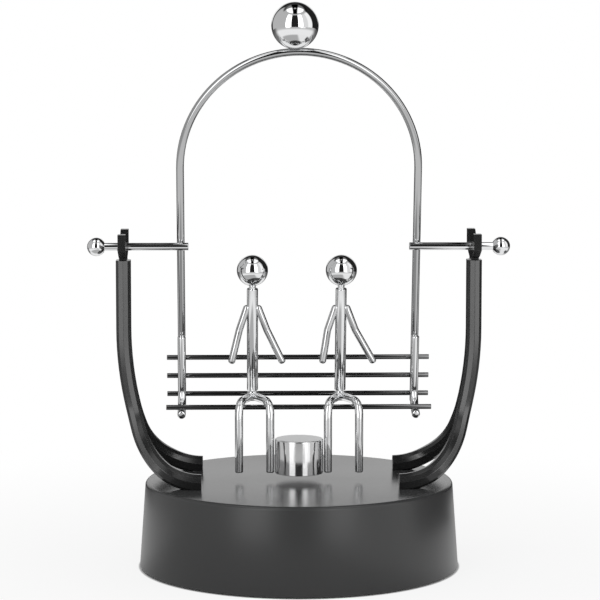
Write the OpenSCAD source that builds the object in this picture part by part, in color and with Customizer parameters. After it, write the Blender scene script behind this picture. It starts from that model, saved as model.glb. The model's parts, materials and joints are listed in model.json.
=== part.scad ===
// Desk toy: two wire figures on a bench swing that rocks on an axle held
// by two forked supports. A coil hidden in the round base pushes the magnet
// that hangs under the bench. X runs along the axle, the viewer is at -Y.

/* [Base] */
// Height of the base above the table
base_h = 34; // [33.2:0.1:40]
// Radius of the base at its lower edge
base_bottom_r = 62.5; // [61:0.5:66]
// Radius of the base at its upper edge
base_top_r = 60.1; // [58.5:0.1:62]
// Rounding of the upper edge
rim_fillet = 1.5; // [0.5:0.1:2.2]
// Thickness of the side wall
base_wall = 2.5; // [2:0.1:3.2]
// Thickness of the top plate
roof_t = 2.5; // [2:0.1:3]
// Thickness of the bottom cover
cover_t = 2; // [1.8:0.1:2.4]
// Height of the rim above the table, set by the rubber feet
rim_lift = 0.6; // [0.4:0.1:0.9]
// Radius of a rubber foot
foot_pad_r = 5; // [3.5:0.1:5.5]
// Thickness of a rubber foot
foot_pad_t = 1.6; // [1.2:0.1:1.8]
// Distance of a rubber foot from the edge of the bottom cover
foot_pad_edge = 3.5; // [2.5:0.1:5.5]

/* [Supports] */
// Height of the axle above the top of the base
axle_h = 91.7; // [86:0.1:100]
// Thickness of a support seen from the front
support_t = 5.7; // [5:0.1:7]
// Distance of the inner ends of the supports from the edge of the base's top
foot_inset = 22.1; // [20.6:0.1:23.6]
// Radius of the lower bend
bend_r = 25.5; // [23:0.1:28]
// Radius of the long bow above the bend
bow_r = 131; // [120:1:145]
// Lean of the support where the bend meets the bow
bow_angle = 17.3; // [14:0.1:18]
// Depth of the stem from front to back
stem_w = 10; // [8:0.1:12]
// Depth of one foot from front to back
foot_w = 6; // [5:0.1:7]
// Distance of a foot's middle line from the stem's
foot_spread = 21.5; // [18:0.1:24]
// Length of the parallel end of a foot
foot_run = 13.5; // [10:0.1:15]
// Angle at which the feet part
spread_angle = 39; // [36:1:45]
// Length over which the feet turn from parallel to parting
spread_blend = 3; // [1:0.1:4]
// Extra thickness of the feet where they stand flat on the base
foot_extra = 1.1; // [0.6:0.1:1.6]
// Height of the ridge along the front and back faces
ridge_h = 0.9; // [0.3:0.1:1.2]
// Width of the slope along each edge of the ridged faces
bevel_w = 1.05; // [0.5:0.05:1.3]
// Distance from the stem's shoulder up to the axle
shoulder_drop = 5.2; // [4:0.1:7]
// Thickness of the fork plate
fork_t = 3; // [2.6:0.1:3.8]
// Distance of the prongs' outer edges from the middle
prong_reach = 16; // [15:0.1:19]
// Width of a prong at its tip
prong_w = 4.5; // [3:0.1:5.5]
// Height of the prong tips above the axle
prong_h = 5.8; // [4.5:0.1:7]

/* [Axle] */
// Radius of the axle rods
axle_r = 1.5; // [1.2:0.05:1.7]
// Reach of a rod past the support's middle, to the middle of the end ball
end_ball_reach = 10.4; // [8.5:0.1:14]
// Radius of an end ball
end_ball_r = 3.6; // [3:0.1:4.5]
// Reach of a rod inward past the arch wire's middle line
rod_inner_reach = 3; // [2:0.1:6]
// Depth of a rod in its end ball
end_ball_bore_l = 4; // [2:0.1:4.5]

/* [Arch] */
// Lean of the arch from upright when the swing hangs still
lean = 13; // [9:0.5:16]
// Radius of the arch wire
wire_r = 1.5; // [1.2:0.05:1.8]
// Radius of the arch along the middle of the wire
arch_r = 46; // [44:0.1:50]
// Height of the centre of the arch above the axle
arch_centre_w = 30.8; // [20:0.1:36]
// Radius of the ball on top of the arch
top_ball_r = 9; // [7:0.1:10]
// Sideways place of the ball on top of the arch
top_ball_x = -1.9; // [-3:0.1:3]
// Depth by which the ball is flattened where it sits on the wire
top_ball_flat = 0.3; // [0.2:0.1:1]

/* [Bench] */
// Radius of the cross bars
bar_r = 1; // [0.8:0.05:1.2]
// Reach of the bars past the arch wire's middle line
bar_overhang = 6; // [4:0.1:9]
// Distance of the top back bar below the axle
back_bar_drop = 48; // [46:0.1:50]
// Spacing of the back bars
back_bar_pitch = 7.7; // [6.5:0.1:7.8]
// Reach of the arch wire below the bottom back bar
leg_tail = 2.5; // [1.5:0.1:3]
// Distance of the seat bar below the axle
seat_bar_drop = 62.5; // [61.5:0.1:63.5]
// Depth of the seat from the arch wire to the seat bar
seat_depth = 14.7; // [13:0.1:17]
// Radius of the seat bracket wire
bracket_r = 1.6; // [1.3:0.05:1.8]
// Distance of the top of the seat brackets below the axle
bracket_top_drop = 37; // [32:0.1:44]
// Radius of the seat bracket's bend
bracket_bend_r = 6; // [4:0.1:7]
// Reach of the seat bracket in front of the seat bar
bracket_front = 2; // [1.2:0.1:6]

/* [Figures] */
// Distance of a figure's middle from the middle of the bench
figure_x = 17.4; // [17.2:0.1:17.8]
// Sideways place of a torso over its legs
torso_shift = -0.7; // [-1.6:0.1:1.6]
// Radius of a torso
torso_r = 2.2; // [1.8:0.05:2.6]
// Radius of a head
head_r = 6.1; // [5:0.1:7]
// Distance of the middle of the heads below the axle
head_drop = 10.6; // [9:0.1:14]
// Radius of a neck
neck_r = 1.3; // [0.9:0.05:1.6]
// Length of a neck
neck_l = 1.4; // [1:0.1:2.5]
// Radius of the arm wire
arm_r = 1.4; // [1.2:0.05:1.7]
// Distance of the shoulders below the axle
shoulder_w = 25; // [21.5:0.1:26]
// Distance of the elbows below the shoulders
upper_arm_drop = 10; // [8:0.1:15]
// Distance of the hands below the elbows
forearm_drop = 11.6; // [9:0.1:12.5]
// Reach of the hands in front of the torso's middle
hand_reach = 4; // [2.5:0.1:6]
// Reach of the shoulders in front of the torso's middle
shoulder_front = 0.3; // [0:0.1:0.6]
// Sideways place of the elbow on the arm that hangs close
near_elbow_x = 5.2; // [5:0.1:6]
// Sideways place of the hand on the arm that hangs close
near_hand_x = 7.6; // [6.5:0.1:8.5]
// Sideways place of the elbow on the arm that is held out
far_elbow_x = 5.7; // [5.2:0.1:7.5]
// Sideways place of the hand on the arm that is held out
far_hand_x = 12; // [10.5:0.1:12.5]
// Sideways shift of the hands, outward on each figure
hand_shift = 0.5; // [0:0.1:1]
// Radius of the leg wire
leg_r = 1.6; // [1.3:0.05:1.6]
// Distance of each shin from the figure's middle
stance = 6.1; // [5.5:0.1:6.1]
// Radius of the knee bend
knee_r = 5; // [3.5:0.1:6]
// Distance of the shins and the magnet in front of the axle
shin_front = 1.6; // [0:0.1:3]

/* [Magnet] */
// Radius of the magnet cup
cup_r = 9.45; // [8.5:0.05:9.45]
// Height of the magnet cup
cup_h = 13.5; // [11:0.1:15]
// Gap between the magnet cup and the base
cup_gap = 2.9; // [2:0.1:4]
// Thickness of the cup's side wall
cup_wall = 1.5; // [1:0.1:2]
// Thickness of the cup's top
cup_top_t = 3; // [2:0.1:4]
// Bevel around the cup's top edge
cup_bevel = 0.5; // [0.2:0.1:0.8]

/* [Power] */
// Length of a cell without its nub
cell_l = 49.2; // [48:0.1:49.6]
// Radius of a cell
cell_r = 7.25; // [7:0.05:7.25]
// Length of a cell's nub
nub_l = 1.3; // [1:0.1:1.5]
// Radius of a cell's nub
nub_r = 2.7; // [2:0.1:2.9]
// Length of a contact spring
spring_l = 5.4; // [4:0.1:6]
// Radius of a contact spring
spring_r = 3.2; // [2.5:0.1:4]
// Thickness of a contact plate
plate_t = 0.4; // [0.3:0.05:0.6]
// Thickness of the battery bay's walls
bay_wall = 1.6; // [1.2:0.1:2]
// Radius of the coil's winding
coil_r = 15; // [12:0.1:18]
// Clearance between the coil's screw and the battery bay
coil_clearance = 1.9; // [0.5:0.1:3]
// Thickness of a bobbin flange
flange_t = 1.1; // [0.8:0.1:1.3]
// Radius of the bobbin's hub
hub_r = 6; // [5.2:0.1:7]
// Radius of the post that carries the bobbin
post_r = 4; // [3.2:0.1:4.2]
// Length of the circuit board
board_l = 30; // [28:0.1:32]
// Width of the circuit board
board_w = 18; // [16:0.1:19]
// Thickness of the circuit board
board_t = 1.6; // [1:0.1:2]
// Radius of the capacitor
cap_r = 3.15; // [2.5:0.05:4]
// Height of the capacitor
cap_h = 7; // [5:0.1:11]
// Travel of the power switch
switch_travel = 3; // [2:0.1:4]

/* [Screws] */
// Radius of the larger screws
screw_r = 1.45; // [1.2:0.05:1.5]
// Radius of the larger screws' heads
screw_head_r = 2.8; // [2.4:0.1:3]
// Height of the larger screws' heads
screw_head_h = 1.7; // [1.2:0.1:1.8]
// Radius of the small screws
small_screw_r = 0.95; // [0.7:0.05:1]
// Length of the cover screws below their heads
cover_screw_l = 10; // [8:0.5:12]

/* [Fits] */
// Gap at welds and glued seats
weld_gap = 0.04; // [0.02:0.01:0.06]
// Radial clearance of the axle rods in the forks
axle_clearance = 0.05; // [0.03:0.01:0.08]
// Radial clearance of pins and screws in their holes
pin_clearance = 0.06; // [0.03:0.01:0.09]
// Gap around the bottom cover, the battery door and the switch
panel_gap = 0.4; // [0.3:0.05:0.5]

/* [Hidden] */
$fn = 72;

chrome_colour = [0.82, 0.82, 0.84];
base_colour = [0.27, 0.27, 0.28];
support_colour = [0.2, 0.2, 0.21];
hidden_plastic = [0.16, 0.16, 0.17];
steel_colour = [0.62, 0.62, 0.64];

// Axle and arch
axle_z = base_h + axle_h;
wire_v = axle_r + wire_r + weld_gap;
arch_top_w = arch_centre_w + arch_r;
bar_v = wire_v + wire_r + bar_r + weld_gap;
bottom_bar_w = -(back_bar_drop + 2 * back_bar_pitch);
leg_end_w = bottom_bar_w - leg_tail;
bar_half_l = arch_r + bar_overhang;

// Seat
seat_bar_v = wire_v - seat_depth;
seat_bar_z = axle_z - seat_bar_drop * cos(lean) + seat_bar_v * sin(lean);
rail_w = -seat_bar_drop - bar_r - bracket_r - weld_gap;
bracket_v = wire_v - wire_r - bracket_r - weld_gap;

// Figures
torso_v = bar_v - bar_r - torso_r - weld_gap;
thigh_z = thousandth(seat_bar_z + bar_r + leg_r + weld_gap);
hip_w = (thigh_z - axle_z - torso_v * sin(lean)) / cos(lean);
hip_y = torso_v * cos(lean) - hip_w * sin(lean);
hip_half_h = leg_r + 0.3;
torso_bottom_w = hip_w + (hip_half_h + weld_gap + torso_r * sin(lean)) / cos(lean);
torso_top_w = -head_drop - head_r - neck_l;
shin_bottom_z = base_h + cup_gap;
cup_cavity_r = cup_r - cup_wall;

// Supports: the middle line is measured from the inner end of the feet
foot_x = base_top_r - foot_inset;
bend_z = base_h + support_t / 2 + bend_r;
bend_sweep = 90 - bow_angle;
bend_len = bend_r * bend_sweep * PI / 180;
bow_len = bow_r * bow_angle * PI / 180;
bow_x = foot_x + bend_r * sin(bend_sweep) - bow_r * sin(bend_sweep);
bow_z = bend_z - bend_r * cos(bend_sweep) + bow_r * cos(bend_sweep);
support_x = bow_x + bow_r;
stem_len = axle_z - shoulder_drop - bow_z;
kink = foot_w / 2 * tan(spread_angle / 2);
bevel_depth = foot_w / 4;
section_n = 10; // corners of the section
end_ball_x = support_x + end_ball_reach;
fork_root_z = axle_z - shoulder_drop - 3;
notch_r = axle_r + axle_clearance;
prong_root_y = prong_reach * 0.56;
screw_hole_r = screw_r + pin_clearance;
foot_screw_x = foot_x + support_t * 0.6;
foot_screw_depth = support_t * 0.72;

// Inside of the base
cover_bottom_z = rim_lift;
cover_top_z = cover_bottom_z + cover_t;
roof_z = base_h - roof_t;
wall_slope = (base_bottom_r - base_top_r) / (base_h - rim_lift);
cover_r = base_bottom_r - wall_slope * cover_t - base_wall - panel_gap;
boss_r = screw_hole_r + 2.4;
boss_bottom_z = cover_top_z + screw_head_h + 0.6;
head_seat_z = cover_bottom_z + screw_head_h + 0.3;
foot_pad_ring_r = cover_r - foot_pad_edge - foot_pad_r;
foot_pad_angles = [22.5, 157.5, 202.5, 337.5];
cover_screw_angles = [45, 135, 225, 315];

// Battery bay: four cells side by side along X
cell_pitch = 2 * cell_r + 0.4;
cell_z = cover_top_z + panel_gap + cell_r;
bay_x = cell_l + nub_l + spring_l + 2 * plate_t + 0.2;
bay_y = 4 * cell_pitch + 0.8;
bay_ceiling_z = cell_z + cell_r + 0.3;
bay_half_x = bay_x / 2 + bay_wall;
bay_half_y = bay_y / 2 + bay_wall;
bay_top_z = bay_ceiling_z + bay_wall;
// The screws stand midway between the bay's corners and the cover's edge
cover_screw_ring_r = (norm([bay_half_x, bay_half_y]) + cover_r) / 2;
door_t = cover_t - 0.2;
hinge_r = door_t;
hinge_y = bay_y / 2 - panel_gap - hinge_r;
hinge_z = cover_bottom_z + hinge_r;
hinge_pin_r = 1;
hinge_pin_l = 1.2;

// Coil: it fills the height between the battery bay and the top plate
coil_screw_head_h = screw_head_h * 0.75;
bobbin_bottom_z = bay_top_z + coil_clearance + coil_screw_head_h + 2 * weld_gap;
bobbin_h = roof_z - bobbin_bottom_z;
coil_h = bobbin_h - 2 * flange_t;
coil_screw_l = bobbin_h - 2;
flange_r = coil_r + 1;

// Circuit board
board_post_h = 5;
board_z = cover_top_z + board_post_h;
board_edge_x = sqrt(pow(cover_r, 2) - pow(board_l / 2, 2));
board_x = (bay_half_x + board_edge_x) / 2;
board_screw_y = board_l / 2 - 4;

// Power switch
switch_x = (bay_half_x + cover_r) / 2;
knob_w = 3.2;
knob_l = 3.4;
slide_w = 4.6;
slide_l = 4.6;
slide_t = 1.6;
switch_wall = 1.2;
slot_l = knob_l + switch_travel + 2 * panel_gap;
channel_l = slide_l + switch_travel + 2 * panel_gap;
channel_h = slide_t + panel_gap;

function thousandth(x) = round(x * 1000) / 1000;

// Places its children in the frame of the leaning arch, centred on the axle
module leaning() {
    translate([0, 0, axle_z]) rotate([lean, 0, 0]) children();
}

// Round rod from one point to another
module rod_between(from, to, r) {
    run = to - from;
    len = norm(run);
    translate(from)
        rotate([0, acos(run[2] / len), atan2(run[1], run[0])])
            cylinder(h = len, r = r);
}

// Closes the seam where two lengths of wire meet
module wire_joint(at, r) {
    translate(at) sphere(r = r + 0.03);
}

module at_each(points) {
    for (p = points) translate(p) children();
}

function ring_points(angles, r) = [for (a = angles) [r * cos(a), r * sin(a), 0]];

function support_screw_points() = [for (sx = [-1, 1], sy = [-1, 1])
    [sx * foot_screw_x, sy * foot_spread, 0]];

// Pan head screw that points up, with the underside of its head at z = 0
module pan_screw(shank_r, shank_l, head_r, head_h) {
    cylinder(h = shank_l, r = shank_r);
    translate([0, 0, -head_h]) {
        difference() {
            cylinder(h = head_h, r = head_r);
            translate([0, 0, head_h * 0.3 / 2]) cube([head_r * 1.5, 0.6, head_h * 0.3 + 0.01], center = true);
            translate([0, 0, head_h * 0.3 / 2]) cube([0.6, head_r * 1.5, head_h * 0.3 + 0.01], center = true);
        }
    }
}

// Base

module base_shell() {
    color(base_colour) difference() {
        union() {
            rotate_extrude() difference() {
                union() {
                    polygon([[0, rim_lift], [base_bottom_r, rim_lift],
                        [base_top_r + wall_slope * rim_fillet, base_h - rim_fillet],
                        [base_top_r + wall_slope * rim_fillet - rim_fillet, base_h - rim_fillet],
                        [base_top_r + wall_slope * rim_fillet - rim_fillet, base_h], [0, base_h]]);
                    translate([base_top_r + wall_slope * rim_fillet - rim_fillet, base_h - rim_fillet])
                        intersection() {
                            circle(r = rim_fillet);
                            square(2 * rim_fillet);
                        }
                }
                polygon([[0, rim_lift - 1], [base_bottom_r - base_wall + wall_slope, rim_lift - 1],
                    [base_top_r - base_wall + wall_slope * roof_t, roof_z], [0, roof_z]]);
            }
            at_each(ring_points(cover_screw_angles, cover_screw_ring_r))
                translate([0, 0, boss_bottom_z]) cylinder(h = roof_z - boss_bottom_z + roof_t / 5, r = boss_r);
            translate([0, 0, bobbin_bottom_z + weld_gap])
                cylinder(h = roof_z - bobbin_bottom_z, r = post_r);
        }
        at_each(ring_points(cover_screw_angles, cover_screw_ring_r))
            translate([0, 0, boss_bottom_z - 1]) cylinder(h = cover_screw_l + 2, r = screw_hole_r);
        at_each(support_screw_points())
            translate([0, 0, roof_z - 1]) cylinder(h = roof_t + 2, r = screw_hole_r);
        translate([0, 0, bobbin_bottom_z - 1]) cylinder(h = coil_screw_l + 2, r = screw_hole_r);
    }
}

module bottom_cover() {
    stop_l = 6;
    color(hidden_plastic) difference() {
        union() {
            translate([0, 0, cover_bottom_z]) cylinder(h = cover_t, r = cover_r);
            translate([-bay_half_x, -bay_half_y, cover_bottom_z])
                cube([2 * bay_half_x, 2 * bay_half_y, bay_top_z - cover_bottom_z]);
            at_each(ring_points(cover_screw_angles, cover_screw_ring_r))
                translate([0, 0, cover_bottom_z])
                    cylinder(h = boss_bottom_z - cover_bottom_z - weld_gap, r = boss_r + 0.6);
            for (sy = [-1, 1])
                translate([-board_x, sy * board_screw_y, cover_bottom_z])
                    cylinder(h = board_z - cover_bottom_z - weld_gap, r = 2.5);
        }
        difference() {
            translate([-bay_x / 2, -bay_y / 2, cover_bottom_z - 1])
                cube([bay_x, bay_y, bay_ceiling_z - cover_bottom_z + 1]);
            for (sx = [-1, 1])
                translate([sx * bay_x / 4 - stop_l / 2, -bay_y / 2 - 1, cover_bottom_z + door_t + 0.1])
                    cube([stop_l, 3, 1.6]);
        }
        translate([-bay_x / 2 - hinge_pin_l - panel_gap, hinge_y, hinge_z]) rotate([0, 90, 0])
            cylinder(h = bay_x + 2 * (hinge_pin_l + panel_gap), r = hinge_pin_r + pin_clearance);
        at_each(ring_points(cover_screw_angles, cover_screw_ring_r)) {
            translate([0, 0, cover_bottom_z - 1])
                cylinder(h = head_seat_z - cover_bottom_z + 1, r = screw_head_r + 0.3);
            translate([0, 0, cover_bottom_z]) cylinder(h = boss_bottom_z, r = screw_hole_r + 0.1);
        }
        at_each(ring_points(foot_pad_angles, foot_pad_ring_r))
            translate([0, 0, cover_bottom_z - 1])
                cylinder(h = foot_pad_t - rim_lift + weld_gap + 1, r = foot_pad_r + 0.1);
        for (sy = [-1, 1])
            translate([-board_x, sy * board_screw_y, cover_top_z])
                cylinder(h = board_post_h + 1, r = small_screw_r + pin_clearance);
        translate([switch_x - knob_w / 2 - panel_gap, -slot_l / 2, cover_bottom_z - 1])
            cube([knob_w + 2 * panel_gap, slot_l, cover_t + 2]);
    }
}

module battery_door() {
    door_x = bay_x - 2 * panel_gap;
    color(hidden_plastic) {
        translate([-door_x / 2, -bay_y / 2 + panel_gap, cover_bottom_z])
            cube([door_x, hinge_y + bay_y / 2 - panel_gap, door_t]);
        translate([-door_x / 2, hinge_y, hinge_z]) rotate([0, 90, 0])
            cylinder(h = door_x, r = hinge_r);
        translate([-door_x / 2 - hinge_pin_l, hinge_y, hinge_z]) rotate([0, 90, 0])
            cylinder(h = door_x + 2 * hinge_pin_l, r = hinge_pin_r);
    }
}

// Every second cell is turned end for end
function cell_y(i) = (i - 1.5) * cell_pitch;
function cell_dir(i) = i % 2 == 0 ? 1 : -1;

module batteries() {
    color("darkorange") for (i = [0:3])
        translate([cell_dir(i) * (spring_l / 2 - nub_l / 2), cell_y(i), cell_z])
            rotate([0, 90 * cell_dir(i), 0]) {
                translate([0, 0, -cell_l / 2]) cylinder(h = cell_l, r = cell_r);
                translate([0, 0, cell_l / 2]) cylinder(h = nub_l, r = nub_r);
            }
}

module contact_plates() {
    color(steel_colour) for (i = [0:3], sx = [-1, 1])
        translate([sx * (bay_x / 2 - plate_t / 2 - 0.02), cell_y(i), cell_z])
            cube([plate_t, cell_r * 1.6, cell_r * 1.6], center = true);
}

module contact_springs() {
    color(steel_colour) for (i = [0:3])
        translate([-cell_dir(i) * (bay_x / 2 - plate_t - 0.06), cell_y(i), cell_z])
            rotate([0, 90 * cell_dir(i), 0])
                cylinder(h = spring_l, r = spring_r);
}

module circuit_board() {
    color("darkgreen") difference() {
        translate([-board_x - board_w / 2, -board_l / 2, board_z]) cube([board_w, board_l, board_t]);
        for (sy = [-1, 1])
            translate([-board_x, sy * board_screw_y, board_z - 1])
                cylinder(h = board_t + 2, r = small_screw_r + pin_clearance);
    }
}

module capacitor() {
    color("navy") translate([-board_x - board_w / 4, board_l / 8, board_z + board_t + weld_gap])
        cylinder(h = cap_h, r = cap_r);
}

module transistor() {
    body_r = 2.4;
    color("dimgray") translate([-board_x + board_w / 5, -board_l / 8, board_z + board_t + weld_gap])
        difference() {
            cylinder(h = 4.6, r = body_r);
            translate([body_r * 0.4, -body_r, -1]) cube([body_r, 2 * body_r, 7]);
        }
}

module coil_bobbin() {
    color("ivory") translate([0, 0, bobbin_bottom_z - weld_gap]) difference() {
        union() {
            cylinder(h = flange_t, r = flange_r);
            cylinder(h = bobbin_h, r = hub_r);
            translate([0, 0, flange_t + coil_h]) cylinder(h = flange_t, r = flange_r);
        }
        translate([0, 0, -1]) cylinder(h = bobbin_h + 2, r = post_r + pin_clearance);
    }
}

module drive_coil() {
    winding_gap = 0.05;
    color("chocolate") translate([0, 0, bobbin_bottom_z - weld_gap + flange_t + winding_gap]) difference() {
        cylinder(h = coil_h - 2 * winding_gap, r = coil_r);
        translate([0, 0, -1]) cylinder(h = coil_h + 2, r = hub_r + winding_gap);
    }
}

module coil_screw() {
    color(steel_colour) translate([0, 0, bobbin_bottom_z - 2 * weld_gap])
        pan_screw(screw_r, coil_screw_l, post_r + 1.4, coil_screw_head_h);
}

module switch_body() {
    body_w = slide_w + 2 * (panel_gap + switch_wall);
    body_l = channel_l + 2 * switch_wall;
    body_h = channel_h + switch_wall + 1;
    color("dimgray") difference() {
        translate([switch_x - body_w / 2, -body_l / 2, cover_top_z + weld_gap]) cube([body_w, body_l, body_h]);
        translate([switch_x - slide_w / 2 - panel_gap, -channel_l / 2, cover_top_z - 1])
            cube([slide_w + 2 * panel_gap, channel_l, channel_h + 1]);
    }
}

// Drawn at the off end of its travel
module switch_knob() {
    color("white") translate([switch_x, -switch_travel / 2, 0]) {
        translate([-knob_w / 2, -knob_l / 2, cover_bottom_z + 0.2])
            cube([knob_w, knob_l, cover_top_z - cover_bottom_z]);
        translate([-slide_w / 2, -slide_l / 2, cover_top_z + 0.15]) cube([slide_w, slide_l, slide_t]);
    }
}

module cover_screws() {
    color(steel_colour) at_each(ring_points(cover_screw_angles, cover_screw_ring_r))
        translate([0, 0, head_seat_z - weld_gap])
            pan_screw(screw_r, cover_screw_l, screw_head_r, screw_head_h);
}

module support_screws() {
    color(steel_colour) at_each(support_screw_points())
        translate([0, 0, roof_z - weld_gap])
            pan_screw(screw_r, roof_t + foot_screw_depth - 0.4, screw_head_r, screw_head_h);
}

module board_screws() {
    color(steel_colour) for (sy = [-1, 1])
        translate([-board_x, sy * board_screw_y, board_z + board_t + weld_gap]) rotate([180, 0, 0])
            pan_screw(small_screw_r, board_t + board_post_h - 1, 2 * small_screw_r, 1.2);
}

module rubber_feet() {
    color("black") at_each(ring_points(foot_pad_angles, foot_pad_ring_r))
        cylinder(h = foot_pad_t, r = foot_pad_r);
}

// Supports

// Point on the support's middle line and the direction of its outer face
function on_bend(s) = let (a = s / bend_r * 180 / PI)
    [[foot_x + bend_r * sin(a), bend_z - bend_r * cos(a)], [sin(a), -cos(a)]];
function on_bow(s) = let (a = bend_sweep + s / bow_r * 180 / PI)
    [[bow_x + bow_r * sin(a), bow_z - bow_r * cos(a)], [sin(a), -cos(a)]];
function on_support(s) = s < bend_len ? on_bend(s)
    : s < bend_len + bow_len ? on_bow(s - bend_len)
    : [[support_x, bow_z + s - bend_len - bow_len], [1, 0]];

// The larger of two values, with a rounded change from one to the other
function blend(a, b) = (a + b + sqrt(pow(a - b, 2) + pow(spread_blend, 2))) / 2;

// Outer and inner edge of one foot, which closes up into half of the stem
function edge_out(s) = blend(stem_w / 2,
    foot_spread + foot_w / 2 - blend(0, s - foot_run - kink) * tan(spread_angle));
function edge_in(s) = max(-ridge_h - bevel_depth - 0.5,
    foot_spread - foot_w / 2 - blend(0, s - foot_run + kink) * tan(spread_angle));

// Distance of the outer face from the middle line, which grows towards the foot's end
function outer_h(s) = support_t / 2 + foot_extra * (1 + cos(180 * min(1, s / bend_len))) / 2;

// Ridge and slopes of one edge of the section, from the inner face to the outer one
function edge_profile(y, sy, outer) = let (h = support_t / 2) [
    [-h, y - sy * (ridge_h + bevel_depth)], [bevel_w - h, y - sy * ridge_h], [0, y],
    [outer - bevel_w, y - sy * ridge_h], [outer, y - sy * (ridge_h + bevel_depth)]];

// Corners of the section, ridged on both of its edges
function support_section(s) = let (c = on_support(s), p = c[0], n = c[1],
        near = edge_profile(edge_in(s), -1, outer_h(s)),
        far = edge_profile(edge_out(s), 1, outer_h(s)),
        corners = concat(near, [for (i = [4:-1:0]) far[i]]))
    [for (q = corners) [p[0] + q[0] * n[0], q[1], p[1] + q[0] * n[1]]];

support_steps = concat([for (i = [0:27]) i * 1.55],
    [for (i = [1:8]) 27 * 1.55 + i / 8 * (bend_len + bow_len - 27 * 1.55)],
    [bend_len + bow_len + stem_len]);

module half_support() {
    n = len(support_steps);
    m = section_n;
    points = [for (s = support_steps) each support_section(s)];
    faces = concat(
        [for (j = [1:m - 2]) [0, j, j + 1]],
        [for (i = [0:n - 2], j = [0:m - 1])
            let (k = (j + 1) % m) each [
                [i * m + j, (i + 1) * m + k, i * m + k],
                [i * m + j, (i + 1) * m + j, (i + 1) * m + k]]],
        let (e = (n - 1) * m) [for (j = [1:m - 2]) [e, e + j + 1, e + j]]);
    polyhedron(points = points, faces = faces, convexity = 6);
}

module fork_plate() {
    tip_in = prong_reach - prong_w;
    root_y = stem_w / 2 - ridge_h - 0.1;
    translate([support_x - fork_t / 2, 0, 0]) rotate([90, 0, 90]) linear_extrude(height = fork_t)
        difference() {
            polygon([[-root_y, fork_root_z], [root_y, fork_root_z],
                [root_y, axle_z - shoulder_drop + 0.8],
                [prong_root_y, axle_z - notch_r - 1.6],
                [prong_reach, axle_z - 0.5], [prong_reach, axle_z + prong_h], [tip_in, axle_z + prong_h],
                [notch_r, axle_z + 0.2], [-notch_r, axle_z + 0.2],
                [-tip_in, axle_z + prong_h], [-prong_reach, axle_z + prong_h], [-prong_reach, axle_z - 0.5],
                [-prong_root_y, axle_z - notch_r - 1.6],
                [-root_y, axle_z - shoulder_drop + 0.8]]);
            translate([0, axle_z]) circle(r = notch_r);
            translate([-notch_r, axle_z]) square([2 * notch_r, 1]);
        }
}

module support() {
    difference() {
        union() {
            half_support();
            mirror([0, 1, 0]) half_support();
            fork_plate();
        }
        translate([foot_x - 1, -foot_spread - foot_w, base_h - support_t])
            cube([bend_r, 2 * (foot_spread + foot_w), support_t + weld_gap]);
        for (sy = [-1, 1])
            translate([foot_screw_x, sy * foot_spread, base_h - 1])
                cylinder(h = foot_screw_depth + 1, r = screw_hole_r);
    }
}

module left_support() {
    color(support_colour) mirror([1, 0, 0]) support();
}

module right_support() {
    color(support_colour) support();
}

// Swing

module arch_wire() {
    color(chrome_colour) leaning() translate([0, wire_v, 0]) {
        translate([0, 0, arch_centre_w]) rotate([90, 0, 0])
            rotate_extrude(angle = 180) translate([arch_r, 0]) circle(r = wire_r);
        for (sx = [-1, 1]) {
            translate([sx * arch_r, 0, leg_end_w]) cylinder(h = arch_centre_w - leg_end_w, r = wire_r);
            wire_joint([sx * arch_r, 0, arch_centre_w], wire_r);
        }
    }
}

module top_ball() {
    seat_w = arch_top_w + wire_r + weld_gap;
    color(chrome_colour) leaning() translate([top_ball_x, wire_v, 0]) difference() {
        translate([0, 0, seat_w - top_ball_flat + top_ball_r]) sphere(r = top_ball_r);
        translate([-top_ball_r, -top_ball_r, seat_w - top_ball_r]) cube([2 * top_ball_r, 2 * top_ball_r, top_ball_r]);
    }
}

module axle_rod() {
    inner = arch_r - rod_inner_reach;
    outer = end_ball_x - end_ball_r + end_ball_bore_l - weld_gap;
    translate([inner, 0, axle_z]) rotate([0, 90, 0]) cylinder(h = outer - inner, r = axle_r);
}

module left_axle_rod() {
    color(chrome_colour) mirror([1, 0, 0]) axle_rod();
}

module right_axle_rod() {
    color(chrome_colour) axle_rod();
}

module end_ball() {
    translate([end_ball_x, 0, axle_z]) difference() {
        sphere(r = end_ball_r);
        translate([-2 * end_ball_r, 0, 0]) rotate([0, 90, 0])
            cylinder(h = end_ball_r + end_ball_bore_l, r = axle_r + weld_gap);
    }
}

module left_end_ball() {
    color(chrome_colour) mirror([1, 0, 0]) end_ball();
}

module right_end_ball() {
    color(chrome_colour) end_ball();
}

// Back stile of the seat that bends forward into a rail
module seat_bracket() {
    leaning() translate([arch_r, 0, 0]) {
        translate([0, bracket_v, rail_w + bracket_bend_r])
            cylinder(h = -bracket_top_drop - rail_w - bracket_bend_r, r = bracket_r);
        translate([0, bracket_v - bracket_bend_r, rail_w + bracket_bend_r]) rotate([0, 90, 0])
            rotate_extrude(angle = 90) translate([bracket_bend_r, 0]) circle(r = bracket_r);
        translate([0, bracket_v - bracket_bend_r, rail_w]) rotate([90, 0, 0])
            cylinder(h = bracket_v - bracket_bend_r - seat_bar_v + bracket_front, r = bracket_r);
    }
}

module left_seat_bracket() {
    color(chrome_colour) mirror([1, 0, 0]) seat_bracket();
}

module right_seat_bracket() {
    color(chrome_colour) seat_bracket();
}

module bar() {
    rotate([0, 90, 0]) translate([0, 0, -bar_half_l]) cylinder(h = 2 * bar_half_l, r = bar_r);
}

module back_bar(i) {
    color(chrome_colour) leaning() translate([0, bar_v, -back_bar_drop - i * back_bar_pitch]) bar();
}

module back_bar_top() {
    back_bar(0);
}

module back_bar_middle() {
    back_bar(1);
}

module back_bar_bottom() {
    back_bar(2);
}

module seat_bar() {
    color(chrome_colour) leaning() translate([0, seat_bar_v, -seat_bar_drop]) bar();
}

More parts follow.
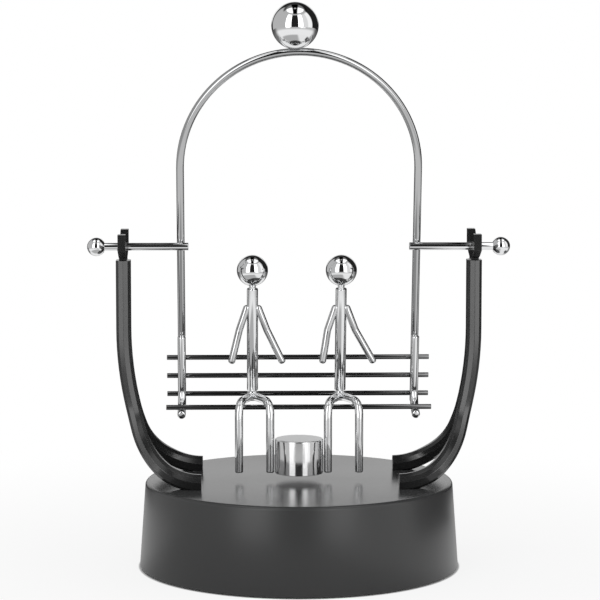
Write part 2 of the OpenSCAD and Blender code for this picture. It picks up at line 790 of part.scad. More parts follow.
// Figures: side is -1 for the left one and 1 for the right one

module figure_head(side) {
    color(chrome_colour) leaning() translate([side * figure_x + torso_shift, torso_v, -head_drop]) {
        sphere(r = head_r);
        translate([0, 0, -head_r - neck_l + weld_gap]) cylinder(h = neck_l + head_r / 2, r = neck_r);
    }
}

module torso_solid(side, extra) {
    leaning() translate([side * figure_x + torso_shift, torso_v, torso_bottom_w])
        cylinder(h = torso_top_w - torso_bottom_w, r = torso_r + extra);
}

module figure_torso(side) {
    color(chrome_colour) torso_solid(side, 0);
}

module arm_wire(shoulder, elbow, hand) {
    rod_between(shoulder, elbow, arm_r);
    rod_between(elbow, hand, arm_r);
    for (p = [shoulder, elbow, hand]) wire_joint(p, arm_r);
}

// The left arm hangs close and the right one is held out
module figure_arms(side) {
    elbow_w = -shoulder_w - upper_arm_drop;
    hand_w = elbow_w - forearm_drop;
    reach = torso_r - arm_r * 0.2;
    color(chrome_colour) difference() {
        leaning() translate([side * figure_x + torso_shift, torso_v, 0]) {
            arm_wire([-reach, -shoulder_front, -shoulder_w],
                [-near_elbow_x, -hand_reach * 0.3, elbow_w],
                [-near_hand_x + side * hand_shift, -hand_reach, hand_w]);
            arm_wire([reach, -shoulder_front, -shoulder_w],
                [far_elbow_x, -hand_reach * 0.3, elbow_w],
                [far_hand_x + side * hand_shift, -hand_reach, hand_w]);
        }
        torso_solid(side, weld_gap);
    }
}

// One thigh, its knee and its shin, seen from the hip
module leg(len, yaw) {
    rotate([0, 0, yaw]) {
        rotate([0, 90, 0]) cylinder(h = len - knee_r, r = leg_r);
        translate([len - knee_r, 0, -knee_r]) rotate([90, 0, 0])
            rotate_extrude(angle = 90) translate([knee_r, 0]) circle(r = leg_r);
        translate([len, 0, shin_bottom_z - thigh_z])
            cylinder(h = thigh_z - knee_r - shin_bottom_z, r = leg_r);
    }
}

module figure_legs(side) {
    color(chrome_colour) translate([side * figure_x + torso_shift, hip_y, thigh_z]) {
        for (sx = [-1, 1]) {
            run = [sx * stance - torso_shift, -shin_front - hip_y];
            leg(thousandth(norm(run)), atan2(run[1], run[0]));
        }
        translate([0, 0, -hip_half_h]) cylinder(h = 2 * hip_half_h, r = torso_r);
    }
}

module left_figure_head() {
    figure_head(-1);
}

module left_figure_torso() {
    figure_torso(-1);
}

module left_figure_arms() {
    figure_arms(-1);
}

module left_figure_legs() {
    figure_legs(-1);
}

module right_figure_head() {
    figure_head(1);
}

module right_figure_torso() {
    figure_torso(1);
}

module right_figure_arms() {
    figure_arms(1);
}

module right_figure_legs() {
    figure_legs(1);
}

// Magnet under the bench, held between the inner shins

module magnet_cup() {
    color(chrome_colour) translate([0, -shin_front, shin_bottom_z]) rotate_extrude() difference() {
        polygon([[0, 0], [cup_r, 0], [cup_r, cup_h - cup_bevel], [cup_r - cup_bevel, cup_h], [0, cup_h]]);
        translate([-1, -1]) square([cup_cavity_r + 1, cup_h - cup_top_t + 1]);
    }
}

module magnet() {
    color("dimgray") translate([0, -shin_front, shin_bottom_z + 0.2])
        cylinder(h = cup_h - cup_top_t - 0.2 - weld_gap, r = cup_cavity_r - weld_gap);
}

base_shell();
bottom_cover();
battery_door();
batteries();
contact_plates();
contact_springs();
circuit_board();
capacitor();
transistor();
coil_bobbin();
drive_coil();
coil_screw();
switch_body();
switch_knob();
cover_screws();
support_screws();
board_screws();
rubber_feet();
left_support();
right_support();
arch_wire();
top_ball();
left_axle_rod();
right_axle_rod();
left_end_ball();
right_end_ball();
left_seat_bracket();
right_seat_bracket();
back_bar_top();
back_bar_middle();
back_bar_bottom();
seat_bar();
left_figure_head();
left_figure_torso();
left_figure_arms();
left_figure_legs();
right_figure_head();
right_figure_torso();
right_figure_arms();
right_figure_legs();
magnet_cup();
magnet();
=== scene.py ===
# Desk toy: two wire figures on a bench swing that rocks between forked supports
# over a round base. Sizes in the piece dictionaries are in millimetres.
import json
import math

import bmesh
import bpy
from mathutils import Matrix, Vector


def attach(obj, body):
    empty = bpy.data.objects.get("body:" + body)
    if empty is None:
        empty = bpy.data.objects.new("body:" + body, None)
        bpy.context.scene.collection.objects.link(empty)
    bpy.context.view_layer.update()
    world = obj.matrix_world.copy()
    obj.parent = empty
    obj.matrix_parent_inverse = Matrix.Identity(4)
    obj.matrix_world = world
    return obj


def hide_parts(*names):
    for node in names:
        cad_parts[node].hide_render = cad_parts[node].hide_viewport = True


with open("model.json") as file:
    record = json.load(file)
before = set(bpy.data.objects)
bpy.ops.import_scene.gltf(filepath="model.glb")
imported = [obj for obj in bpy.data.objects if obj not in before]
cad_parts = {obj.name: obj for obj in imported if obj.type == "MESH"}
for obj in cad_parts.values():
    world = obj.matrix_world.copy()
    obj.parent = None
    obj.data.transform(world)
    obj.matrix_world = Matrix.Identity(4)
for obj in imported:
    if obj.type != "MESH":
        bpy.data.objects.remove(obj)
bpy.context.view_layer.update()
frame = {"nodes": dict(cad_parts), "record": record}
mm = 0.001
axle = {"height": 125.7, "lean": 13.0}
swingFrame = Matrix.Translation((0, 0, axle["height"] * mm)) @ Matrix.Rotation(
    math.radians(axle["lean"]), 4, "X")
print("frame loaded:", len(frame["nodes"]), "nodes")


# Shader sheets: plain expressions on sockets

class Signal:
    def __init__(self, sheet, socket):
        self.sheet, self.socket = sheet, socket

    def take(self, operation, *others):
        return self.sheet.add("ShaderNodeMath", {"operation": operation}, (self,) + others)

    def __add__(self, other):
        return self.take("ADD", other)

    def __mul__(self, other):
        return self.take("MULTIPLY", other)

    def __sub__(self, other):
        return self.take("SUBTRACT", other)

    def __rsub__(self, other):
        return -self + other

    def __neg__(self):
        return self * -1.0

    __radd__, __rmul__ = __add__, __mul__

    def rise(self, low, high):  # 0 below low, 1 above high, smooth between
        return self.sheet.add("ShaderNodeMapRange", {"interpolation_type": "SMOOTHSTEP"},
                              [self, low, high, 0.0, 1.0])

    def band(self, low, high, soft):  # 1 between low and high, with soft ends
        return self.rise(low - soft, low + soft) * (1 - self.rise(high - soft, high + soft))


class Sheet:
    def __init__(self, tree):
        self.tree = tree
        tree.nodes.clear()

    # a node with its settings, the values or links of its sockets, and one of its outputs
    def add(self, kind, settings=None, values=(), output=0):
        node = self.tree.nodes.new(kind)
        for key, value in (settings or {}).items():
            setattr(node, key, value)
        pairs = values.items() if isinstance(values, dict) else enumerate(values)
        for key, value in pairs:
            if isinstance(value, Signal):
                self.tree.links.new(value.socket, node.inputs[key])
            else:
                node.inputs[key].default_value = value
        return Signal(self, node.outputs[output]) if len(node.outputs) else None

    def mixColour(self, share, first, second):
        return self.add("ShaderNodeMix", {"data_type": "RGBA"},
                        {0: share, 6: first, 7: second}, output=2)

    def noise(self, place, scale, detail=2.0):
        return self.add("ShaderNodeTexNoise", None,
                        {"Vector": place, "Scale": scale, "Detail": detail})

    def split(self, vector):  # its x, y and z
        first = self.add("ShaderNodeSeparateXYZ", None, [vector])
        return [Signal(self, socket) for socket in first.socket.node.outputs]

    def rays(self):  # 1 for camera, glossy and see-through rays in turn
        first = self.add("ShaderNodeLightPath")
        return [Signal(self, first.socket.node.outputs[name]) for name in
                ("Is Camera Ray", "Is Glossy Ray", "Is Transmission Ray")]


def grey(level, warm=0.0):
    return (level * (1 + warm), level, level * (1 - warm), 1.0)


# Camera, light and floor

camera = {"place": (-24.0, -1000.0, 211.94), "aim": (0.4, 0.0, 104.7), "lens": 154.83,
          "sensor": 36.0, "clip": (0.05, 20.0)}
fill = 0.55  # light from all round on what doesn't mirror
lamps = [  # name, place, aim, size, power: metres and watts
    ("keyLamp", (-0.25, -0.35, 0.95), (0, 0, 0.05), 0.5, 1.3),
    ("sideLamp", (0.75, -0.35, 0.55), (0, 0, 0.08), 0.4, 0.5)]
supportLamp = {"across": 0.37, "front": 0.23, "up": 0.2, "aim": (0.07, 0.12),
               "size": (0.35, 0.4), "power": 1.25}
supportsOnly = bpy.data.collections.new("supportsOnly")

# What metal mirrors. Turn is 0 degrees towards the viewer and 90 to the right, and rise is
# the height over the horizon. Pairs are where a value starts and ends to grow, and a third
# number is a band's soft edge.
walls = [  # turn from, to, soft edge, brightness
    (-48, -20, 2, 2.2), (16, 39, 2, 2.2),  # the two panels
    (39, 66, 3, 0.72), (66, 92, 3, 0.95),  # pale wall beside the right panel
    (-140, -48, 4, 0.46)]  # grey wall on the left
mirrorRoom = {
    "gap": 0.015, "backdrop": 0.9, "backdropTurn": (146, 160), "backdropFoot": (0, 5),
    "backdropTop": (18, 34), "darkWall": (92, 165, 4), "darkWallTop": (52, 60),
    "roof": 0.45, "roofFoot": (46, 54), "roofPanel": (0.17, 0.5, 0.03),
    "roofPanelRise": (58, 62), "slit": (0.12, 0.16), "slitRise": (56, 86, 2),
    "roofRear": (0.05, 0.2), "roofRearDim": 0.85,
    "ground": 0.5, "nearGround": 0.38, "nearGroundRise": (12, 22),
    "groundRear": (95, 130), "groundRearDim": 0.8,
    "panelFeet": ((-48, -27, 2), (27, 52, 2)), "panelFeetRise": (-14, -11),
    "groundEnd": (-8.3, -8.1)}
groundPlate = {
    "size": 8.0, "tone": 0.92, "underBase": (0.0626, 0.0634), "shade": 0.15,
    "shadeFades": (0.07, 0.3), "glow": 0.85, "glowEnds": (0.2, 0.26),
    "dull": 0.5, "dullAcross": (0.03, 0.08), "dullBack": (-0.03, 0.02),
    "dark": 0.9, "darkTurn": (80, 125, 6), "darkFrom": (0.135, 0.15)}


def setCamera():
    bpy.ops.object.camera_add(location=Vector(camera["place"]) * mm)
    eye = bpy.context.object
    eye.name = "photoCamera"
    aim = Vector(camera["aim"]) * mm - eye.location
    eye.rotation_euler = aim.to_track_quat("-Z", "Y").to_euler()
    eye.data.lens, eye.data.sensor_width = camera["lens"], camera["sensor"]
    eye.data.clip_start, eye.data.clip_end = camera["clip"]
    bpy.context.scene.camera = eye


def lampAt(name, place, aim, size, power):
    bpy.ops.object.light_add(type="AREA", location=place)
    lamp = bpy.context.object
    lamp.name = name
    lamp.rotation_euler = (Vector(aim) - Vector(place)).to_track_quat("-Z", "Y").to_euler()
    lamp.data.size = size
    lamp.data.energy = power
    lamp.visible_glossy = False  # metal mirrors the room in the world, not the lamps
    return lamp


def turnOf(x, y):
    return x.take("ARCTAN2", -y) * math.degrees(1)


def paintRoom():
    r = mirrorRoom
    world = bpy.data.worlds.new("studio")
    bpy.context.scene.world = world
    world.use_nodes = True
    sheet = Sheet(world.node_tree)
    x, y, z = sheet.split(sheet.add("ShaderNodeTexCoord", output=0))
    turn, rise = turnOf(x, y), z.take("ARCSINE") * math.degrees(1)
    away, across = turn.take("ABSOLUTE"), x.take("ABSOLUTE")

    wall = sum((turn.band(*place) * level for *place, level in walls), r["gap"])
    backdrop = (away.rise(*r["backdropTurn"]) * rise.rise(*r["backdropFoot"])
                * (1 - rise.rise(*r["backdropTop"])) * r["backdrop"])
    slit = (1 - across.rise(*r["slit"])) * rise.band(*r["slitRise"])
    roof = ((r["roof"] + across.band(*r["roofPanel"]) * rise.rise(*r["roofPanelRise"]))
            * (1 - slit) * (1 - y.rise(*r["roofRear"]) * r["roofRearDim"]))
    dark = turn.band(*r["darkWall"]) * (1 - rise.rise(*r["darkWallTop"]))
    high = rise.rise(*r["roofFoot"])
    upper = (wall + backdrop) * (1 - high) + roof * high * (1 - dark)

    ground = ((r["ground"] + (-rise).rise(*r["nearGroundRise"]) * r["nearGround"])
              * (1 - away.rise(*r["groundRear"]) * r["groundRearDim"]))
    left, right = r["panelFeet"]
    feet = (turn.band(*left) + turn.band(*right)) * rise.rise(*r["panelFeetRise"])
    ground = ground * (1 - feet) + feet
    over = rise.rise(*r["groundEnd"])
    room = ground * (1 - over) + upper * over

    isCamera, isGlossy, isThrough = sheet.rays()
    plain = isCamera.take("MAXIMUM", isThrough)
    level = plain + (1 - plain) * (isGlossy * room + (1 - isGlossy) * fill)
    back = sheet.add("ShaderNodeBackground", None, {"Color": grey(1.0), "Strength": level})
    sheet.add("ShaderNodeOutputWorld", None, {"Surface": back})


def hangLamps():
    for lamp in lamps:
        lampAt(*lamp)
    s = supportLamp
    for side in (-1, 1):  # a softbox at each side that shines on the black supports alone
        box = lampAt("supportLamp", (side * s["across"], -s["front"], s["up"]),
                     (side * s["aim"][0], 0, s["aim"][1]), s["size"][0], s["power"])
        box.data.shape, box.data.size_y = "RECTANGLE", s["size"][1]
        box.visible_glossy, box.visible_camera = True, False
        box.light_linking.receiver_collection = supportsOnly


def layFloor():
    g = groundPlate
    bpy.ops.mesh.primitive_plane_add(size=1.0)
    floor = bpy.context.object
    floor.name = "floor"
    bpy.ops.object.mode_set(mode="EDIT")
    bpy.ops.transform.resize(value=(g["size"], g["size"], 1))
    bpy.ops.object.mode_set(mode="OBJECT")
    material = bpy.data.materials.new("paleFloor")
    material.use_nodes = True
    sheet = Sheet(material.node_tree)
    # white away from the base, shaded below it, and seen by glossy rays only near it, where it
    # glows as a painted reflection with painted shade in it
    place = sheet.add("ShaderNodeTexCoord", output=3)
    distance = sheet.add("ShaderNodeVectorMath", {"operation": "LENGTH"}, [place], output=1)
    x, y, _ = sheet.split(place)
    isCamera, isGlossy, isThrough = sheet.rays()
    lit = distance.rise(*g["underBase"]) * (
        1 - g["shade"] + distance.rise(*g["shadeFades"]) * g["shade"])
    # painted shade in the glossy glow: dimmer towards the front left, and dark in a sector to the
    # right beyond the base
    dull = (1 - x.rise(*g["dullAcross"])) * (1 - y.rise(*g["dullBack"])) * g["dull"]
    dark = turnOf(x, y).band(*g["darkTurn"]) * distance.rise(*g["darkFrom"]) * g["dark"]
    matte = sheet.add("ShaderNodeBsdfDiffuse", None, {"Color": grey(g["tone"])})
    white = sheet.add("ShaderNodeEmission", None, {"Color": grey(1.0), "Strength": 1.0})
    mirror = sheet.add("ShaderNodeEmission", None,
                       {"Color": grey(1.0), "Strength": (1 - dull - dark) * g["glow"]})
    clear = sheet.add("ShaderNodeBsdfTransparent")
    near = sheet.add("ShaderNodeMixShader", None, [distance.rise(*g["glowEnds"]), mirror, clear])
    shown = isCamera.take("MAXIMUM", isThrough)
    direct = sheet.add("ShaderNodeMixShader", None, [shown * lit, matte, white])
    mixed = sheet.add("ShaderNodeMixShader", None, [isGlossy, direct, near])
    sheet.add("ShaderNodeOutputMaterial", None, {"Surface": mixed})
    floor.data.materials.append(material)


setCamera()
paintRoom()
hangLamps()
layFloor()
bpy.context.scene.view_settings.view_transform = "Standard"
print("camera and studio set")


# Finishes

def newFinish(name, paint):
    material = bpy.data.materials.new(name)
    material.use_nodes = True
    sheet = Sheet(material.node_tree)
    place = sheet.add("ShaderNodeTexCoord", output=3)  # Object
    shader = sheet.add("ShaderNodeBsdfPrincipled", None, paint(sheet, place))
    sheet.add("ShaderNodeOutputMaterial", None, {"Surface": shader})
    return material


def bump(sheet, height, strength, depth):
    return sheet.add("ShaderNodeBump", None,
                     {"Strength": strength, "Distance": depth, "Height": height})


def brightWire(tone):  # polished chrome, and darker copies for the plain wires, where the lower tone is painted shade for their darker reflections
    def paint(sheet, place):
        haze = sheet.noise(place, 70.0, 3.0)
        polish = sheet.noise(place, 900.0)
        clean, dim = grey(tone, -0.003), grey(tone * 0.92, -0.01)
        return {"Base Color": sheet.mixColour(haze, clean, dim),
                "Metallic": 1.0,
                "Roughness": 0.02 + haze * 0.05 + polish * 0.01,
                "Normal": bump(sheet, haze, 0.02, 0.0002)}
    return paint


def paintCup(sheet, place):  # mirror bright sides and a satin top
    top = sheet.split(place)[2].rise(0.0499, 0.0501)
    haze = sheet.noise(place, 70.0, 3.0)
    return {"Base Color": sheet.mixColour(top, (0.93, 0.93, 0.935, 1), (0.63, 0.635, 0.64, 1)),
            "Metallic": 1.0,
            "Roughness": 0.07 + top * 0.21 + haze * 0.05,
            "Normal": bump(sheet, haze, 0.02, 0.0002)}


def mouldedPlastic(tone, low, high, grain):
    def paint(sheet, place):
        cloud = sheet.noise(place, 35.0, 3.0)
        fine = sheet.noise(place, 2600.0, 1.0)
        pits = sheet.noise(place, 800.0)
        dim, pale = grey(tone * 0.9, -0.01), grey(tone * 1.12, -0.01)
        return {"Base Color": sheet.mixColour(cloud, dim, pale),
                "Roughness": low + cloud * (high - low) + fine * 0.05,
                "Normal": bump(sheet, fine + pits * 0.6, grain, 0.00006)}
    return paint


def paintBase(sheet, place):  # the top is a little glossier than the side
    top = sheet.split(place)[2].rise(0.0325, 0.0338)
    cloud = sheet.noise(place, 35.0, 3.0)
    pits = sheet.noise(place, 1400.0)
    return {"Base Color": sheet.mixColour(cloud, grey(0.052, -0.01), grey(0.058, -0.01)),
            "Roughness": 0.3 - top * 0.1 + cloud * 0.05,
            "Normal": bump(sheet, pits, 0.03, 0.00004)}


def paintSteel(sheet, place):
    brushed = sheet.add("ShaderNodeMapping", None, {"Vector": place, "Scale": (1, 12, 1)})
    streak = sheet.noise(brushed, 500.0)
    return {"Base Color": sheet.mixColour(streak, grey(0.5), grey(0.66)),
            "Metallic": 1.0, "Roughness": 0.22 + streak * 0.16,
            "Normal": bump(sheet, streak, 0.1, 0.00005)}


def paintCopper(sheet, place):  # layers of fine wire
    turns = (sheet.split(place)[2] * 9000.0).take("SINE") * 0.5 + 0.5
    return {"Base Color": sheet.mixColour(turns, (0.3, 0.09, 0.03, 1), (0.62, 0.24, 0.1, 1)),
            "Metallic": 0.9, "Roughness": 0.3 + turns * 0.1,
            "Normal": bump(sheet, turns, 0.6, 0.0002)}


def paintCell(sheet, place):  # a dark and copper jacket between bare steel ends
    along = sheet.split(place)[0]
    ends = along.take("ABSOLUTE").rise(0.0242, 0.0244)
    cloud = sheet.noise(place, 300.0)
    jacket = sheet.mixColour(along.rise(0.0085, 0.0087),
                             (0.02, 0.02, 0.022, 1), (0.62, 0.26, 0.06, 1))
    return {"Base Color": sheet.mixColour(ends, jacket, grey(0.62)),
            "Metallic": ends, "Roughness": 0.24 + cloud * 0.12,
            "Normal": bump(sheet, cloud, 0.05, 0.00005)}


def paintBoard(sheet, place):
    traces = sheet.add("ShaderNodeTexVoronoi", {"distance": "CHEBYCHEV"},
                       {"Vector": place, "Scale": 350.0})
    lines = traces.rise(0.32, 0.4)
    return {"Base Color": sheet.mixColour(lines, (0.02, 0.13, 0.05, 1), (0.05, 0.26, 0.1, 1)),
            "Roughness": 0.3 + lines * 0.15, "Normal": bump(sheet, lines, 0.2, 0.00005)}


def paintRubber(sheet, place):
    grain = sheet.noise(place, 1500.0, 3.0)
    return {"Base Color": sheet.mixColour(grain, grey(0.012), grey(0.03)),
            "Roughness": 0.75 + grain * 0.15, "Normal": bump(sheet, grain, 0.4, 0.0001)}


finishes = {
    "chrome": newFinish("mirrorChrome", brightWire(0.95)),
    "base_plastic": newFinish("basePlastic", paintBase),
    "support_plastic": newFinish("supportPlastic", mouldedPlastic(0.012, 0.16, 0.24, 0.04)),
    "cover_plastic": newFinish("coverPlastic", mouldedPlastic(0.02, 0.5, 0.65, 0.5)),
    "knob_plastic": newFinish("knobPlastic", mouldedPlastic(0.55, 0.45, 0.55, 0.2)),
    "cell_jacket": newFinish("cellJacket", paintCell),
    "steel": newFinish("zincSteel", paintSteel),
    "board": newFinish("boardLacquer", paintBoard),
    "capacitor_sleeve": newFinish("capacitorSleeve", mouldedPlastic(0.03, 0.2, 0.3, 0.05)),
    "component_plastic": newFinish("componentPlastic", mouldedPlastic(0.03, 0.55, 0.65, 0.3)),
    "bobbin_plastic": newFinish("bobbinPlastic", mouldedPlastic(0.6, 0.5, 0.6, 0.2)),
    "copper": newFinish("copperWire", paintCopper),
    "magnet": newFinish("nickelMagnet", paintSteel),
    "rubber": newFinish("footRubber", paintRubber),
}
chromes = {  # pieces of the chrome slot that differ from the balls: the wires with painted shade, a lower tone standing in for their darker reflections, and the cup with a satin top
    # painted shade: the arch, arm and bar wires are the balls' chrome at lower tones, darkest on
    # the bars
    "arch": newFinish("archChrome", brightWire(0.55)),
    "arms": newFinish("armChrome", brightWire(0.72)),
    "bars": newFinish("barChrome", brightWire(0.2)),
    "cup": newFinish("cupChrome", paintCup),
}
print("finishes made:", len(finishes) + len(chromes))

for part in frame["record"]["subparts"]:
    node = frame["nodes"][part["node"]]
    node.data.materials.clear()
    node.data.materials.append(finishes[part["material_slot"]])


# Modelling helpers

def deselectAll():
    if bpy.context.mode != "OBJECT":
        bpy.ops.object.mode_set(mode="OBJECT")
    bpy.ops.object.select_all(action="DESELECT")


def selectOnly(piece):
    deselectAll()
    piece.select_set(True)
    bpy.context.view_layer.objects.active = piece


def begin(name):  # names the primitive just added, and puts its place in its mesh
    piece = bpy.context.object
    piece.name = piece.data.name = name
    bpy.ops.object.transform_apply(location=True, rotation=True, scale=True)
    return piece


def edit(piece, kind="FACE", everything=False):
    selectOnly(piece)
    bpy.ops.object.mode_set(mode="EDIT")
    bpy.ops.mesh.select_mode(type=kind)
    bpy.ops.mesh.select_all(action="SELECT" if everything else "DESELECT")


def pick(piece, kind, wanted):  # kind is verts, edges or faces, wanted tests one of them
    bpy.ops.mesh.select_mode(type={"verts": "VERT", "edges": "EDGE", "faces": "FACE"}[kind])
    bpy.ops.mesh.select_all(action="DESELECT")
    shape = bmesh.from_edit_mesh(piece.data)
    for element in getattr(shape, kind):
        element.select_set(bool(wanted(element)))
    shape.select_flush(True)
    bmesh.update_edit_mesh(piece.data)


def smooth(piece, angle=30):
    selectOnly(piece)
    bpy.ops.object.shade_smooth_by_angle(angle=math.radians(angle))


def keepFlat(piece):  # long faces keep their own normals beside rounded edges
    flatter = piece.modifiers.new("flatFaces", "WEIGHTED_NORMAL")
    flatter.keep_sharp = True
    bpy.ops.object.modifier_apply(modifier=flatter.name)


def finish(piece, body, slot, node, look=None):
    piece.data.materials.clear()
    piece.data.materials.append(look or finishes[slot])
    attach(piece, body)
    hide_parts(node)


def copyOf(piece, name):
    twin = bpy.data.objects.new(name, piece.data.copy())
    twin.data.name = name
    bpy.context.scene.collection.objects.link(twin)
    selectOnly(twin)
    return twin


def turnOutwards():  # of the piece in edit mode
    bpy.ops.mesh.select_all(action="SELECT")
    bpy.ops.mesh.normals_make_consistent(inside=False)
    bpy.ops.object.mode_set(mode="OBJECT")


def joined(pieces):
    deselectAll()
    for piece in pieces:
        piece.select_set(True)
    bpy.context.view_layer.objects.active = pieces[0]
    bpy.ops.object.join()
    return pieces[0]


def leanBack(piece):  # from the arch's own frame to the world
    selectOnly(piece)
    piece.matrix_world = swingFrame
    bpy.ops.object.transform_apply(location=True, rotation=True, scale=True)
    return piece


def drawWire(name, at, heading, radius, moves, tip=0.35, sides=32):
    # a ring is drawn along straight runs and spun round bends, then capped with rounded
    # ends: a move is "run" and a length, or "bend" and a radius, an angle and a direction
    deselectAll()
    place, way = Vector(at) * mm, Vector(heading).normalized()
    bpy.ops.mesh.primitive_circle_add(vertices=sides, radius=radius * mm, location=place,
                                      rotation=way.to_track_quat("Z", "Y").to_euler())
    piece = begin(name)
    edit(piece, "VERT", everything=True)
    for move in moves:
        if move[0] == "run":
            step = way * move[1] * mm
            bpy.ops.mesh.extrude_region_move(TRANSFORM_OT_translate={"value": step})
            place = place + step
        else:
            bendRadius, angle, toward = move[1] * mm, math.radians(move[2]), Vector(move[3])
            toward = (toward - way * way.dot(toward)).normalized()
            axis, centre = way.cross(toward), place + toward * bendRadius
            bpy.ops.mesh.spin(steps=max(3, round(move[2] / 3)), angle=-angle,
                              center=centre, axis=axis)
            turn = Matrix.Rotation(angle, 3, axis)
            place, way = centre + turn @ (place - centre), turn @ way
    pick(piece, "edges", lambda e: e.is_boundary)
    bpy.ops.mesh.fill_holes(sides=sides)
    bpy.ops.mesh.select_all(action="SELECT")
    bpy.ops.mesh.normals_make_consistent(inside=False)
    pick(piece, "edges", lambda e: any(len(f.verts) > 4 for f in e.link_faces))
    bpy.ops.mesh.bevel(offset=tip * radius * mm, segments=4, affect="EDGES", clamp_overlap=True)
    bpy.ops.object.mode_set(mode="OBJECT")
    smooth(piece, 40)
    return piece


rounding = {"merge": 0.002, "flat": 0.4, "smooth": 24}


def roundedCopy(name, node, width, segments=2, sharp=28):
    # a merged copy of a CAD node with its sharp edges rounded and its flat faces kept flat
    piece = copyOf(frame["nodes"][node], name)
    if piece.data.has_custom_normals:
        bpy.ops.mesh.customdata_custom_splitnormals_clear()
    edit(piece, "VERT", everything=True)
    bpy.ops.mesh.remove_doubles(threshold=rounding["merge"] * mm)
    bpy.ops.mesh.select_all(action="SELECT")
    bpy.ops.mesh.dissolve_limited(angle_limit=math.radians(rounding["flat"]))
    bpy.ops.object.mode_set(mode="OBJECT")
    softer = piece.modifiers.new("edges", "BEVEL")
    softer.width, softer.segments = width * mm, segments
    softer.limit_method, softer.angle_limit = "ANGLE", math.radians(sharp)
    softer.use_clamp_overlap = True
    bpy.ops.object.modifier_apply(modifier=softer.name)
    smooth(piece, rounding["smooth"])
    keepFlat(piece)
    return piece


# Base

baseBody = {"bottomRadius": 62.5, "topRadius": 60.1, "lift": 0.6, "height": 34.0,
            "rim": 1.5, "lip": 0.3, "wall": 2.5, "roof": 2.5, "sides": 192}


def makeBaseBody():
    b = baseBody
    tall = b["height"] - b["lift"]
    slope = (b["bottomRadius"] - b["topRadius"]) / tall
    deselectAll()
    bpy.ops.mesh.primitive_cone_add(
        vertices=b["sides"], radius1=b["bottomRadius"] * mm, radius2=b["topRadius"] * mm,
        depth=tall * mm, location=(0, 0, (b["lift"] + tall / 2) * mm))
    piece = begin("baseBody")
    edit(piece)
    pick(piece, "edges", lambda e: all(v.co.z > (b["height"] - 0.01) * mm for v in e.verts))
    bpy.ops.mesh.bevel(offset=b["rim"] * mm, segments=8, affect="EDGES")
    pick(piece, "faces", lambda f: f.normal.z < -0.99)
    bpy.ops.mesh.inset(thickness=(b["wall"] - slope) * mm, use_even_offset=False)
    inner = (b["topRadius"] - b["wall"]) / (b["bottomRadius"] - b["wall"])
    bpy.ops.mesh.extrude_region_move(
        TRANSFORM_OT_translate={"value": (0, 0, (tall - b["roof"]) * mm)})
    bpy.ops.transform.resize(value=(inner, inner, 1), center_override=(0, 0, 0))
    pick(piece, "edges", lambda e: all(v.co.z < (b["lift"] + 0.01) * mm for v in e.verts))
    bpy.ops.mesh.bevel(offset=b["lip"] * mm, segments=2, affect="EDGES")
    bpy.ops.object.mode_set(mode="OBJECT")
    smooth(piece)
    finish(piece, "base", "base_plastic", "base_shell")


# pieces on the underside, and how far their edges are rounded
underside = [("bottomCover", "bottom_cover", 0.3), ("batteryDoor", "battery_door", 0.3),
             ("rubberFeet", "rubber_feet", 0.4), ("coverScrews", "cover_screws", 0.15),
             ("switchKnob", "switch_knob", 0.25)]


def makeUnderside():
    bodies = frame["record"]["behaviour"]["bodies"]
    slots = {part["node"]: part["material_slot"] for part in frame["record"]["subparts"]}
    for name, node, width in underside:
        body = next(body for body, nodes in bodies.items() if node in nodes)
        finish(roundedCopy(name, node, width), body, slots[node], node)


makeBaseBody()
makeUnderside()
print("base modelled")


# Supports

for side in ("left", "right"):
    support = roundedCopy(side + "Support", side + "_support", 0.45, segments=3, sharp=26)
    finish(support, "base", "support_plastic", side + "_support")
    supportsOnly.objects.link(support)
print("supports modelled")


# Arch, axle and balls: places are in the arch's frame, with the axle at its origin

arch = {"wire": 1.5, "radius": 46.0, "centre": 30.8, "back": 3.04, "foot": -65.9}
topBall = {"radius": 9.0, "across": -1.9, "seat": 78.34, "sunk": 0.3, "edge": 0.15}
axleRod = {"wire": 1.5, "inner": 43.0, "outer": 79.03}
endBall = {"radius": 3.6, "across": 78.67, "bore": 1.54, "mouth": 0.88, "lip": 0.3,
           "rings": 32, "sides": 48}


def makeArch():
    a = arch
    piece = drawWire("archWire", (-a["radius"], a["back"], a["foot"]), (0, 0, 1), a["wire"], [
        ("run", a["centre"] - a["foot"]), ("bend", a["radius"], 180, (1, 0, 0)),
        ("run", a["centre"] - a["foot"])])
    finish(leanBack(piece), "swing", "chrome", "arch_wire", chromes["arch"])


def makeBall(name, radius, rings=48, sides=64, at=(0, 0, 0), turned=(0, 0, 0)):
    deselectAll()
    bpy.ops.mesh.primitive_uv_sphere_add(segments=sides, ring_count=rings, radius=radius * mm,
                                         location=Vector(at) * mm, rotation=turned)
    return begin(name)


def makeTopBall():
    t = topBall
    centre = (t["across"], arch["back"], t["seat"] - t["sunk"] + t["radius"])
    piece = makeBall("topBall", t["radius"], at=centre)
    edit(piece, everything=True)
    bpy.ops.mesh.bisect(plane_co=(0, 0, t["seat"] * mm), plane_no=(0, 0, 1),
                        clear_inner=True, use_fill=True)
    bpy.ops.mesh.bevel(offset=t["edge"] * mm, segments=2, affect="EDGES")
    bpy.ops.object.mode_set(mode="OBJECT")
    smooth(piece)
    finish(leanBack(piece), "swing", "chrome", "top_ball")


